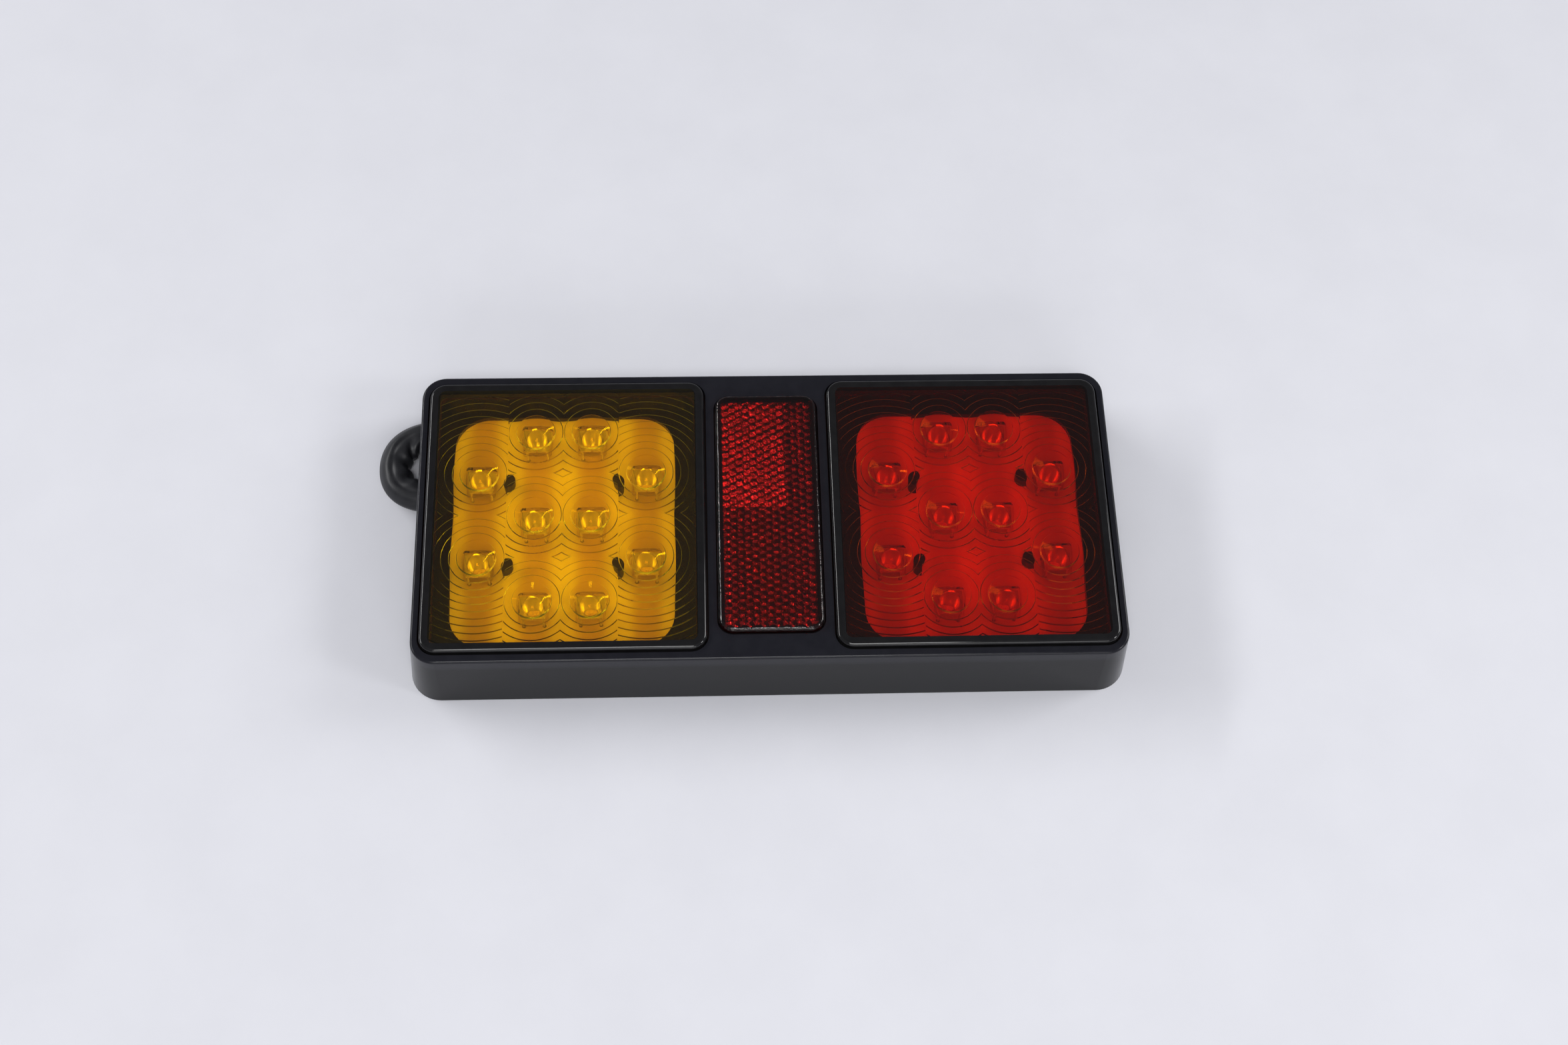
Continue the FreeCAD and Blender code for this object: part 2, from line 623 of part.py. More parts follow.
def make_lead():
    make_tube("cable_sleeve", SLEEVE_ROUTE, VALUES["sleeve_radius"])
    x, y, z = SLEEVE_ROUTE[-1]
    for name, (dy, level, spread, low) in CORE_ENDS.items():
        points = [(x, y + dy, level), (x - 7, y + dy + 0.1, level), (x - 16, spread, low),
                  (x - 24, spread + 0.1, low)]
        make_tube(f"core_{name}", points, VALUES["core_radius"])
        tip = [(x - 24, spread + 0.1, low), (x - 27, spread + 0.1, low), (x - 30, spread + 0.3, low)]
        make_tube(f"core_{name}_tip", tip, VALUES["copper_radius"])
    start, row, level = SLEEVE_ROUTE[0]
    back = VALUES["potting_back"]
    cores = []
    for k, (dy, dz) in enumerate(((-1.6, -1.2), (1.6, -1.2), (-1.6, 1.2), (1.6, 1.2))):
        points = [(start, row + dy, level + dz), (start + 4, row + dy, level + dz + 0.1),
                  (start + 8, row + dy - k, level + 0.2), (start + 11 + k, row + dy - k, back)]
        cores.append(make_tube(f"supply_core_{k + 1}", points, VALUES["link_radius"]))
    for k, name in enumerate(("board_link_feed", "board_link_earth")):
        row = 3.0 - 6.0 * k
        reach = VALUES["pattern_centre"] - VALUES["recess_length"] / 2 + 3
        points = [(-reach, row, back), (-reach + 5, row + 0.2, back - 2.2),
                  (-reach + 14, row, back - 2.4), (0, row + 0.6, back - 1.4),
                  (reach - 14, row, back - 2.4), (reach - 5, row + 0.2, back - 2.2),
                  (reach, row, back)]
        make_tube(name, points, VALUES["link_radius"])


def check_and_write():
    """Stops if anything failed, then writes one file per sub-part."""
    doc.recompute()
    for obj in doc.Objects:
        if {"Invalid", "Error"} & set(obj.State):
            raise RuntimeError(f"{obj.Name} ({obj.Label}) is {obj.State}")
    os.makedirs("parts", exist_ok=True)
    for name, obj in NODES.items():
        shape = obj.Shape
        if shape.isNull() or not shape.isValid() or not shape.Solids:
            raise RuntimeError(f"{name} has no valid shape")
        shape.exportStep(f"parts/{name}.step")
        box_ = shape.BoundBox
        print(f"{name}: {len(shape.Solids)} solids, {len(shape.Faces)} faces, "
              f"{shape.Volume / 1000:.2f} cm3, z {box_.ZMin:.2f}..{box_.ZMax:.2f}")
    print(len(NODES), "parts")


make_housing()
for colour_, side_ in SIDES.items():
    make_lens(colour_, side_)
    make_board(colour_, side_)
make_reflector()
make_inserts()
make_grommet()
make_lead()
check_and_write()
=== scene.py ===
"""Looks of the trailer tail light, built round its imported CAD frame. Pieces are sized in millimetres until their
mesh is made; the camera, the lights and the limits inside materials are in metres. The frame has +Z out of the
lenses, +X from the amber lamp to the red one, +Y across."""
import math

import bmesh
import bpy
import numpy as np
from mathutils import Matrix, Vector, noise


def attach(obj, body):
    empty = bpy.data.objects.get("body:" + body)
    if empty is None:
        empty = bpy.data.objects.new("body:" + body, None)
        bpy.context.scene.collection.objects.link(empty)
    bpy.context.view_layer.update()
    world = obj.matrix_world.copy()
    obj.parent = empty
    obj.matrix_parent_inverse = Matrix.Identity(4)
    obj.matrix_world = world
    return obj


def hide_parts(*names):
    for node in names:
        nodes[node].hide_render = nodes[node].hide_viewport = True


MM = 0.001
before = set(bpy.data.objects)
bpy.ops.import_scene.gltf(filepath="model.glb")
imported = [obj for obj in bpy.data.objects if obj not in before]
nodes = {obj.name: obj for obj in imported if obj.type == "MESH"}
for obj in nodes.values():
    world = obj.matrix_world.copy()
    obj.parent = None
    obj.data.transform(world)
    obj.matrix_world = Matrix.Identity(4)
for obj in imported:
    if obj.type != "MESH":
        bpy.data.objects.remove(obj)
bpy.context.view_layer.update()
scene = bpy.context.scene

LAMPS = {"amber": -1, "red": 1}
SKIRT_FOOT, LENS_FRONT, LENS_PLATE = 19.0, 23.6, 2.6
LENS = (79.6, 85.2, 4.6)
LAMP_X, PATTERN_X = 57.8, 58.75
RINGS = {"first": 5.45, "pitch": 2.22, "depth": 0.34, "riser": 0.24, "count": 12}
CENTRE_LENS = {"top": -0.1, "bowl": 3.4, "curve": 0.0412, "cone_start": 0.476, "cone_slope": 0.28}
LENS_SKIRT, RIM_BAND, RIM_STEP = 2.8, 2.5, 0.12
COLUMNS, SPLIT, ROW = (8.0, 23.85), 15.9, 26.8
BOARD, STANDOFF, GLUE_TOP = 11.8, 3.3, 21.9
SEAT, RIB = LENS_FRONT - LENS_PLATE, 0.11
REFLECTOR, REFLECTOR_FRONT = (29.6, 75.4, 4.0), 24.0
LED = {"half": 3.81, "height": 3.0, "dome": 2.55, "cup_floor": 1.0}
LEAD_RADIUS, LEAD_DIAMETER, LEAD_STEP = 4.05, 0.0082, 0.0004


# ---------------------------------------------------------------- materials
MIX_A, MIX_B, MIX_RESULT = 6, 7, 2  # the colour sockets of a Mix node


def material(name):
    """A new node material, with its tree, shader and output."""
    m = bpy.data.materials.new(name)
    m.use_nodes = True
    tree = m.node_tree
    return m, tree, tree.nodes["Principled BSDF"], tree.nodes["Material Output"]


def node(tree, kind, **values):
    """A node with its properties or inputs set."""
    n = tree.nodes.new(kind)
    for key, value in values.items():
        if hasattr(n, key):
            setattr(n, key, value)
        else:
            n.inputs[key.replace("_", " ")].default_value = value
    return n


def speckle(tree, scale, detail=4.0, stretch=(1, 1, 1)):
    """Noise over the object's own coordinates."""
    coords = node(tree, "ShaderNodeTexCoord")
    mapping = node(tree, "ShaderNodeMapping")
    mapping.inputs["Scale"].default_value = stretch
    tree.links.new(coords.outputs["Object"], mapping.inputs["Vector"])
    n = node(tree, "ShaderNodeTexNoise", Scale=scale, Detail=detail, Roughness=0.6)
    tree.links.new(mapping.outputs["Vector"], n.inputs["Vector"])
    return n


def ramp(tree, source, stops):
    """Colours along a value."""
    r = node(tree, "ShaderNodeValToRGB")
    tree.links.new(source, r.inputs["Fac"])
    while len(r.color_ramp.elements) < len(stops):
        r.color_ramp.elements.new(0.5)
    for element, (at, colour) in zip(r.color_ramp.elements, stops):
        element.position = at
        element.color = (*colour, 1) if len(colour) == 3 else colour
    return r.outputs["Color"]


def bump(tree, shader, source, strength, distance):
    """Surface relief from a value."""
    b = node(tree, "ShaderNodeBump", Strength=strength, Distance=distance)
    tree.links.new(source, b.inputs["Height"])
    tree.links.new(b.outputs["Normal"], shader.inputs["Normal"])


def span(tree, value, **limits):
    """A value carried from one range to another."""
    n = node(tree, "ShaderNodeMapRange", **limits)
    tree.links.new(value, n.inputs["Value"])
    return n.outputs["Result"]


def maths(tree, operation, value, by=None):
    """One arithmetic step on a value; the second operand is a number or another value."""
    n = node(tree, "ShaderNodeMath", operation=operation)
    tree.links.new(value, n.inputs[0])
    if isinstance(by, (int, float)):
        n.inputs[1].default_value = by
    elif by is not None:
        tree.links.new(by, n.inputs[1])
    return n.outputs[0]


def shade(tree, amount, colour):
    """White where the amount is 0, the colour where it is 1."""
    n = node(tree, "ShaderNodeMix", data_type="RGBA")
    tree.links.new(amount, n.inputs["Factor"])
    n.inputs[MIX_A].default_value, n.inputs[MIX_B].default_value = (1, 1, 1, 1), (*colour, 1)
    return n.outputs[MIX_RESULT]


def times(tree, first, second):
    """Two colours multiplied."""
    n = node(tree, "ShaderNodeMix", data_type="RGBA", blend_type="MULTIPLY", Factor=1.0)
    tree.links.new(first, n.inputs[MIX_A])
    tree.links.new(second, n.inputs[MIX_B])
    return n.outputs[MIX_RESULT]


def axes(tree):
    """The object's own X, Y and Z at the point that is shaded."""
    coords, split = node(tree, "ShaderNodeTexCoord"), node(tree, "ShaderNodeSeparateXYZ")
    tree.links.new(coords.outputs["Object"], split.inputs[0])
    return split.outputs


def plain(name, dark, light, rough, scale=400.0, metallic=0.0, relief=0.02, stretch=(1, 1, 1), **more):
    """A moulded or metal surface: two close tones, uneven gloss and a fine relief."""
    m, tree, shader, _ = material(name)
    n = speckle(tree, scale, stretch=stretch)
    tree.links.new(ramp(tree, n.outputs["Fac"], [(0.35, dark), (0.65, light)]), shader.inputs["Base Color"])
    gloss = span(tree, n.outputs["Fac"], To_Min=rough[0], To_Max=rough[1])
    tree.links.new(gloss, shader.inputs["Roughness"])
    shader.inputs["Metallic"].default_value = metallic
    for key, value in more.items():
        shader.inputs[key.replace("_", " ")].default_value = value
    bump(tree, shader, n.outputs["Fac"], relief, 0.0002)
    return m


def paint_housing_shade_and_glow(m):
    """Painted shade darkens the moulding below the lens ledge; painted warm light tints it inside the outer walls, the
    back included.
    """
    tree = m.node_tree
    colour = tree.nodes["Principled BSDF"].inputs["Base Color"]
    source, at = colour.links[0].from_socket, axes(tree)
    level = span(tree, at["Z"], From_Min=0.0175, From_Max=0.0195, To_Min=0.12, To_Max=1.0)
    inside = None
    for axis, reach in (("X", 0.0985), ("Y", 0.0432), ("Z", 0.0199)):
        within = maths(tree, "LESS_THAN", maths(tree, "ABSOLUTE", at[axis]), reach)
        inside = maths(tree, "MULTIPLY", inside, within) if inside else within
    # painted light: the warm tint stands in for light coloured by the lenses; the level is painted shade below the
    # ledge
    painted_glow = times(tree, shade(tree, inside, (2.8, 1.0, 0.5)), level)
    tree.links.new(times(tree, source, painted_glow), colour)
    return m


def clear(name, tint, shadow, rough=0.02, ior=1.49, haze=None, waviness=0.0, wave=18.0):
    """Transparent plastic: refracts for the eye, and passes the lights' shadow rays, tinted."""
    m, tree, shader, output = material(name)
    shader.inputs["Transmission Weight"].default_value = 1.0
    shader.inputs["IOR"].default_value = ior
    n = speckle(tree, 60.0, detail=5.0)
    tree.links.new(ramp(tree, n.outputs["Fac"], [(0.3, tint), (0.7, haze or tint)]), shader.inputs["Base Color"])
    gloss = span(tree, n.outputs["Fac"], To_Min=rough * 0.6, To_Max=rough * 1.4)
    tree.links.new(gloss, shader.inputs["Roughness"])
    if waviness:
        bump(tree, shader, speckle(tree, wave, detail=2.0).outputs["Fac"], waviness, 0.0004)
    through = node(tree, "ShaderNodeBsdfTransparent")
    through.inputs["Color"].default_value = (*shadow, 1)
    path, mix = node(tree, "ShaderNodeLightPath"), node(tree, "ShaderNodeMixShader")
    tree.links.new(path.outputs["Is Shadow Ray"], mix.inputs["Fac"])
    tree.links.new(shader.outputs["BSDF"], mix.inputs[1])
    tree.links.new(through.outputs["BSDF"], mix.inputs[2])
    tree.links.new(mix.outputs["Shader"], output.inputs["Surface"])
    return m


def paint_column_shade(m):
    """Painted shade: soft darker bands down the board under each column of LEDs, for the look through the lens."""
    tree = m.node_tree
    colour = tree.nodes["Principled BSDF"].inputs["Base Color"]
    source = colour.links[0].from_socket
    across = maths(tree, "ABSOLUTE", axes(tree)["X"])
    from_middle = maths(tree, "ABSOLUTE", maths(tree, "SUBTRACT", across, PATTERN_X * MM))
    phase = maths(tree, "MULTIPLY", maths(tree, "SUBTRACT", from_middle, COLUMNS[0] * MM),
                  2 * math.pi / ((COLUMNS[1] - COLUMNS[0]) * MM))
    painted_band_amount = span(tree, maths(tree, "COSINE", phase), From_Min=-0.9, From_Max=1.0, interpolation_type="SMOOTHSTEP")
    # painted shade, darkest under each column of LEDs
    tree.links.new(times(tree, source, shade(tree, painted_band_amount, (0.68, 0.53, 0.53))), colour)
    return m


# the housing black carries painted shade below the lens ledge and painted warm light inside its walls
BLACK = paint_housing_shade_and_glow(plain("gloss_black", (0.0112, 0.0112, 0.0155), (0.0138, 0.0138, 0.0185), (0.14, 0.24), scale=240.0,
                     relief=0.03, Specular_IOR_Level=0.27))
POST = plain("post_black", (0.006, 0.006, 0.006), (0.012, 0.012, 0.012), (0.35, 0.55))
BACKING = plain("backing_dark", (0.012, 0.004, 0.004), (0.02, 0.006, 0.006), (0.3, 0.5))
POTTING = plain("potting", (0.01, 0.01, 0.011), (0.018, 0.018, 0.02), (0.2, 0.45), scale=90.0, relief=0.25)
RUBBER = plain("rubber", (0.009, 0.009, 0.01), (0.016, 0.016, 0.017), (0.5, 0.7), relief=0.1)
SEALANT = plain("sealant", (0.006, 0.006, 0.006), (0.012, 0.012, 0.012), (0.4, 0.6))
# the board's white carries painted shade bands under the LED columns
MASK = paint_column_shade(plain("white_mask", (0.75, 0.75, 0.735), (0.82, 0.82, 0.805), (0.35, 0.5), scale=120.0, relief=0.02))
TIN = plain("tinned", (0.78, 0.78, 0.76), (0.92, 0.92, 0.90), (0.14, 0.30), metallic=0.6, scale=900.0)
GLUE = plain("glue", (0.003, 0.003, 0.003), (0.006, 0.006, 0.006), (0.6, 0.8))
# painted shade: opaque near-black gloss for the lens's rim and front border, where the clear plastic only looks dark
RIM_SHADE = plain("rim_painted_shade", (0.0055, 0.0050, 0.0055), (0.0085, 0.0080, 0.0085), (0.04, 0.09), scale=300.0)
BRASS = plain("brass", (0.62, 0.44, 0.18), (0.74, 0.55, 0.25), (0.2, 0.35), metallic=1.0, stretch=(1, 1, 8))
COPPER = plain("copper", (0.6, 0.3, 0.16), (0.8, 0.45, 0.28), (0.25, 0.4), metallic=1.0, scale=1500.0, relief=0.3,
               stretch=(0.1, 1, 1))
CHIP = plain("chip", (0.01, 0.01, 0.012), (0.03, 0.03, 0.032), (0.4, 0.6))
DIE = plain("die", (0.75, 0.62, 0.08), (0.95, 0.8, 0.2), (0.2, 0.4), scale=3000.0)
RESIN = clear("led_resin", (0.98, 0.98, 0.97), (0.90, 0.90, 0.88), rough=0.01, ior=1.10)
DOME = clear("led_dome", (0.97, 0.97, 0.96), (0.62, 0.62, 0.60), rough=0.01, ior=1.45)
AMBER = clear("amber_acrylic", (0.92, 0.66, 0.001), (0.90, 0.70, 0.001), rough=0.02, haze=(0.90, 0.60, 0.001),
              waviness=0.02)
RED = clear("red_acrylic", (0.71, 0.09, 0.001), (0.80, 0.12, 0.001), rough=0.03, haze=(0.69, 0.08, 0.001),
            waviness=0.02)
# painted shade: darker, rougher copies of the lens plastics, put on the ring risers to draw them as dark lines
AMBER_RISER_SHADE = clear("amber_riser_shade", (0.16, 0.055, 0.001), (0.6, 0.4, 0.001), rough=0.3)
RED_RISER_SHADE = clear("red_riser_shade", (0.10, 0.006, 0.001), (0.5, 0.08, 0.001), rough=0.3)
LENS_MATERIALS = {"amber": (AMBER, AMBER_RISER_SHADE), "red": (RED, RED_RISER_SHADE)}
PRISM = clear("reflex_red", (0.62, 0.010, 0.008), (0.5, 0.02, 0.02), rough=0.02, haze=(0.50, 0.007, 0.006),
              waviness=0.35, wave=900.0)
CORES = {
    "white": plain("core_white", (0.68, 0.68, 0.65), (0.78, 0.78, 0.75), (0.35, 0.5)),
    "brown": plain("core_brown", (0.07, 0.03, 0.012), (0.1, 0.045, 0.02), (0.35, 0.5)),
    "red": plain("core_red", (0.42, 0.012, 0.01), (0.52, 0.02, 0.015), (0.35, 0.5)),
    "yellow": plain("core_yellow", (0.68, 0.48, 0.02), (0.78, 0.58, 0.04), (0.35, 0.5)),
}


def dress(name, surface):
    """Gives a CAD node its material."""
    mesh = nodes[name].data
    mesh.materials.clear()
    mesh.materials.append(surface)


# ---------------------------------------------------------------- mesh helpers
BODY_FACE, GLUED_FACE, RISER_FACE, RIM_FACE = 0, 1, 2, 3  # material slots of a lens


def circle(bm, x, y, z, radius, rays, turn=0.0):
    """A loop of vertices round (x, y)."""
    at = [2 * math.pi * (k + turn) / rays for k in range(rays)]
    return [bm.verts.new((x + radius * math.cos(a), y + radius * math.sin(a), z)) for a in at]


def between(bm, low, high):
    """The faces that join two loops of vertices."""
    count = len(low)
    return [bm.faces.new((low[k], low[(k + 1) % count], high[(k + 1) % count], high[k])) for k in range(count)]


def outline(length, width, corner, x=0.0, y=0.0, steps=10):
    """Points round a rectangle with round corners, anticlockwise from its right side."""
    points = []
    for sx, sy, start in ((1, 1, 0), (-1, 1, 90), (-1, -1, 180), (1, -1, 270)):
        for k in range(steps + 1):
            a = math.radians(start + 90 * k / steps)
            points.append((x + sx * (length / 2 - corner) + corner * math.cos(a),
                           y + sy * (width / 2 - corner) + corner * math.sin(a)))
    return points


def to_object(bm, name, surfaces, sharp=35.0, body="root", smooth=True):
    """A finished piece: metres, smooth apart from its sharp edges, riding on the lamp."""
    if smooth:
        for f in bm.faces:
            f.smooth = True
    for v in bm.verts:
        v.co *= MM
    mesh = bpy.data.meshes.new(name)
    bm.to_mesh(mesh)
    bm.free()
    for surface in surfaces:
        mesh.materials.append(surface)
    mesh.set_sharp_from_angle(angle=math.radians(sharp))
    o = bpy.data.objects.new(name, mesh)
    scene.collection.objects.link(o)
    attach(o, body)
    return o


def quad_facing(bm, points, towards):
    """A face through the points, turned so that it looks the way given."""
    verts = [bm.verts.new(p) for p in points]
    face = bm.faces.new(verts)
    face.normal_update()
    if face.normal.dot(Vector(towards)) < 0:
        face.normal_flip()
    return face


def shell(bm, size, front, rounding, foot, x=0.0, steps=6, band=0.0):
    """The outside of a plate: glued side wall, rounded edge and flat front. Returns its foot loop."""
    length, width, corner = size
    levels = [(0.0, foot), (0.0, GLUE_TOP), (0.0, front - rounding)]
    for k in range(1, steps + 1):
        a = math.radians(90 * k / steps)
        levels.append((rounding * (1 - math.cos(a)), front - rounding * (1 - math.sin(a))))
    levels.append((rounding + RIM_STEP, front))
    if band:
        levels.append((band, front))
    loops = []
    for inset, z in levels:
        ring = outline(length - 2 * inset, width - 2 * inset, max(corner - inset, 0.3), x)
        loops.append([bm.verts.new((px, py, z)) for px, py in ring])
    # with a band, the upper side wall, the rounded edge and the border of the front take the painted-shade black
    for low, high in zip(loops, loops[1:]):
        for face in between(bm, low, high):
            face.material_index = GLUED_FACE if low is loops[0] else RIM_FACE if band else BODY_FACE
            face.smooth = True
    bm.faces.new(loops[-1])
    return loops[0]


def foot_face(bm, outer, x0, x1, y0, y1, z):
    """The flat underside of a skirt, from the outer loop to the rectangle of the hollow."""
    inner = [bm.verts.new((x, y, z)) for x, y in ((x0, y0), (x1, y0), (x1, y1), (x0, y1))]
    edges = [bm.edges.get((a, b)) or bm.edges.new((a, b)) for loop in (outer, inner)
             for a, b in zip(loop, loop[1:] + loop[:1])]
    made = bmesh.ops.triangle_fill(bm, edges=edges, use_beauty=True, normal=(0, 0, -1))
    for f in made["geom"]:
        if isinstance(f, bmesh.types.BMFace):
            f.material_index = GLUED_FACE
            if f.normal.z > 0:
                f.normal_flip()


def clip(bm, x0, x1, y0, y1):
    """Keeps only what is inside the rectangle."""
    for place, outward in (((x0, 0, 0), (-1, 0, 0)), ((x1, 0, 0), (1, 0, 0)),
                           ((0, y0, 0), (0, -1, 0)), ((0, y1, 0), (0, 1, 0))):
        geometry = bm.verts[:] + bm.edges[:] + bm.faces[:]
        bmesh.ops.bisect_plane(bm, geom=geometry, dist=1e-5, plane_co=place, plane_no=outward, clear_outer=True)


def rim_edges(bm, axis, at):
    """The open edges of a surface that lie on the plane axis = at, as pairs of points."""
    found = []
    for e in bm.edges:
        if e.is_boundary and all(abs(v.co[axis] - at) < 1e-3 for v in e.verts):
            found.append((e.verts[0].co.copy(), e.verts[1].co.copy()))
    return found


def absorb(bm, other):
    """Adds another surface to bm."""
    mesh = bpy.data.meshes.new("tmp")
    other.to_mesh(mesh)
    bm.from_mesh(mesh)
    bpy.data.meshes.remove(mesh)


def drop_wall(bm, edges, foot, towards):
    """A glued wall from each edge straight down to the foot level."""
    for a, b in edges:
        quad_facing(bm, [a, b, (b.x, b.y, foot), (a.x, a.y, foot)], towards).material_index = GLUED_FACE


# ---------------------------------------------------------------- lenses
def ring_field(x, y, x0, x1, y0, y1, rays=128):
    """One LED's field of the lens's inner face: a shallow dome in the middle, then saw-tooth rings."""
    radius, pitch, top = RINGS["first"], RINGS["pitch"], SEAT + CENTRE_LENS["top"]
    bowl, steps = CENTRE_LENS["bowl"], 12
    profile = []
    for k in range(1, steps + 1):
        r = radius * k / steps
        cone = CENTRE_LENS["cone_start"] + CENTRE_LENS["cone_slope"] * (r - bowl)
        profile.append((r, top + (CENTRE_LENS["curve"] * r * r if r < bowl else cone)))
    for _ in range(RINGS["count"]):
        profile += [(radius + RINGS["riser"], SEAT), (radius + pitch, SEAT + RINGS["depth"])]
        radius += pitch
    bm = bmesh.new()
    middle = bm.verts.new((x, y, top))
    loops = [circle(bm, x, y, z, r, rays) for r, z in profile]
    for k in range(rays):
        bm.faces.new((middle, loops[0][(k + 1) % rays], loops[0][k])).smooth = True
    for i, (low, high) in enumerate(zip(loops, loops[1:])):
        in_rings = i - (steps - 1)
        for face in between(bm, low, high):
            face.smooth = in_rings < 0
            # the risers take the darker painted-shade copy of the plastic
            face.material_index = RISER_FACE if in_rings >= 0 and in_rings % 2 == 0 else BODY_FACE
    clip(bm, x0, x1, y0, y1)
    return bm


def seam_rib(bm, edges, x, towards):
    """One side of the fine rib between two columns of fields: its wall, from the rings down to the rib."""
    for a, b in edges:
        if max(a.z, b.z) - SEAT > 1e-4:
            quad_facing(bm, [(x, a.y, a.z), (x, b.y, b.z), (x, b.y, SEAT), (x, a.y, SEAT)], towards)


def make_lens(colour, side, surface, riser):
    """A lens: rounded plate and skirt outside, ten fields of rings inside."""
    centre, pattern = side * LAMP_X, side * PATTERN_X
    length, width, _ = LENS
    x0, x1 = centre - length / 2 + LENS_SKIRT, centre + length / 2 - LENS_SKIRT
    y1 = width / 2 - LENS_SKIRT
    bm = bmesh.new()
    outside = shell(bm, LENS, LENS_FRONT, 1.0, SKIRT_FOOT, centre, band=RIM_BAND)
    foot_face(bm, outside, x0, x1, -y1, y1, SKIRT_FOOT)
    seams = (pattern - SPLIT, pattern + SPLIT)
    for seam in seams:
        left, right = seam - RIB, seam + RIB
        quad_facing(bm, [(left, -y1, SEAT), (right, -y1, SEAT), (right, y1, SEAT), (left, y1, SEAT)], (0, 0, -1))
        for end in (-y1, y1):
            drop_wall(bm, [(Vector((left, end, SEAT)), Vector((right, end, SEAT)))], SKIRT_FOOT, (0, -end, 0))
    for hand in (-1, 1):
        inner = sorted((pattern, pattern + hand * (SPLIT - RIB)))
        outer = sorted((pattern + hand * (SPLIT + RIB), x0 if hand < 0 else x1))
        fields = [(pattern + hand * COLUMNS[0], k * ROW, *inner, -y1 if k < 0 else (k - 0.5) * ROW,
                   y1 if k > 0 else (k + 0.5) * ROW) for k in (1, 0, -1)]
        fields += [(pattern + hand * COLUMNS[1], k * ROW, *outer, 0 if k > 0 else -y1, y1 if k > 0 else 0)
                   for k in (0.5, -0.5)]
        for f in fields:
            surf = ring_field(*f)
            for seam in seams:
                seam_rib(bm, rim_edges(surf, 0, seam - RIB), seam - RIB, (-1, 0, 0))
                seam_rib(bm, rim_edges(surf, 0, seam + RIB), seam + RIB, (1, 0, 0))
            drop_wall(bm, rim_edges(surf, 0, x0), SKIRT_FOOT, (1, 0, 0))
            drop_wall(bm, rim_edges(surf, 0, x1), SKIRT_FOOT, (-1, 0, 0))
            drop_wall(bm, rim_edges(surf, 1, -y1), SKIRT_FOOT, (0, 1, 0))
            drop_wall(bm, rim_edges(surf, 1, y1), SKIRT_FOOT, (0, -1, 0))
            absorb(bm, surf)
            surf.free()
    bmesh.ops.remove_doubles(bm, verts=bm.verts, dist=2e-4)
    o = to_object(bm, f"{colour}_lens_rings", [surface, GLUE, riser, RIM_SHADE], sharp=20.0, smooth=False)
    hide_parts(f"{colour}_lens")


# ---------------------------------------------------------------- reflector
def make_reflector():
    """A plate with rows of corner cubes behind it; the rows below the middle point the other way."""
    pitch, top_of_prisms = 2.3, 22.9
    side = pitch / math.sqrt(2)
    step, rise = side * math.sqrt(2 / 3), side / math.sqrt(3)
    length, width, _ = REFLECTOR
    skirt = 1.8
    x1, y1, split = length / 2 - skirt, width / 2 - skirt, 1.2
    bm = bmesh.new()
    foot_face(bm, shell(bm, REFLECTOR, REFLECTOR_FRONT, 1.2, SKIRT_FOOT), -x1, x1, -y1, y1, SKIRT_FOOT)
    zones = ((-x1, 5.2, split, y1, -1, 1.0), (5.2, x1, split, y1, -1, 0.84), (-x1, x1, -y1, split, 1, 0.80))
    for left, right, low, high, flip, steep in zones:
        cubes = bmesh.new()
        made = {}

        def vertex(i, j):
            if (i, j) not in made:
                k = (i - j) % 3
                made[i, j] = cubes.verts.new((step * (i + j / 2), flip * step * j * math.sqrt(3) / 2,
                                            top_of_prisms + (k - 2) * rise * steep))
            return made[i, j]

        reach = int(y1 / step) + 20
        for i in range(-reach, reach):
            for j in range(-reach, reach):
                px, py = step * (i + j / 2), flip * step * j * math.sqrt(3) / 2
                if (i - j) % 3 or not left - 3 < px < right + 3 or not low - 3 < py < high + 3:
                    continue
                for (a, b), (c, d) in (((1, 0), (-1, 1)), ((-1, 1), (0, -1)), ((0, -1), (1, 0))):
                    face = cubes.faces.new((vertex(i, j), vertex(i + a, j + b),
                                            vertex(i + a + c, j + b + d), vertex(i + c, j + d)))
                    face.normal_update()
                    if face.normal.z > 0:
                        face.normal_flip()
        clip(cubes, left, right, low, high)
        drop_wall(bm, rim_edges(cubes, 0, -x1), SKIRT_FOOT, (1, 0, 0))
        drop_wall(bm, rim_edges(cubes, 0, x1), SKIRT_FOOT, (-1, 0, 0))
        if low < 0:
            drop_wall(bm, rim_edges(cubes, 1, -y1), SKIRT_FOOT, (0, 1, 0))
        else:
            drop_wall(bm, rim_edges(cubes, 1, y1), SKIRT_FOOT, (0, -1, 0))
        absorb(bm, cubes)
        cubes.free()
    bmesh.ops.remove_doubles(bm, verts=bm.verts, dist=2e-4)
    o = to_object(bm, "reflector_prisms", [PRISM, GLUE], sharp=20.0, smooth=False)
    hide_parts("reflector_lens")


# ---------------------------------------------------------------- LEDs
def led_places(side):
    """Where the LEDs of a lamp stand, in the order of their numbers."""
    pattern = side * PATTERN_X
    places = []
    for hand in (-1, 1):
        places += [(pattern + hand * COLUMNS[1], k * ROW) for k in (0.5, -0.5)]
        places += [(pattern + hand * COLUMNS[0], k * ROW) for k in (1, 0, -1)]
    return places


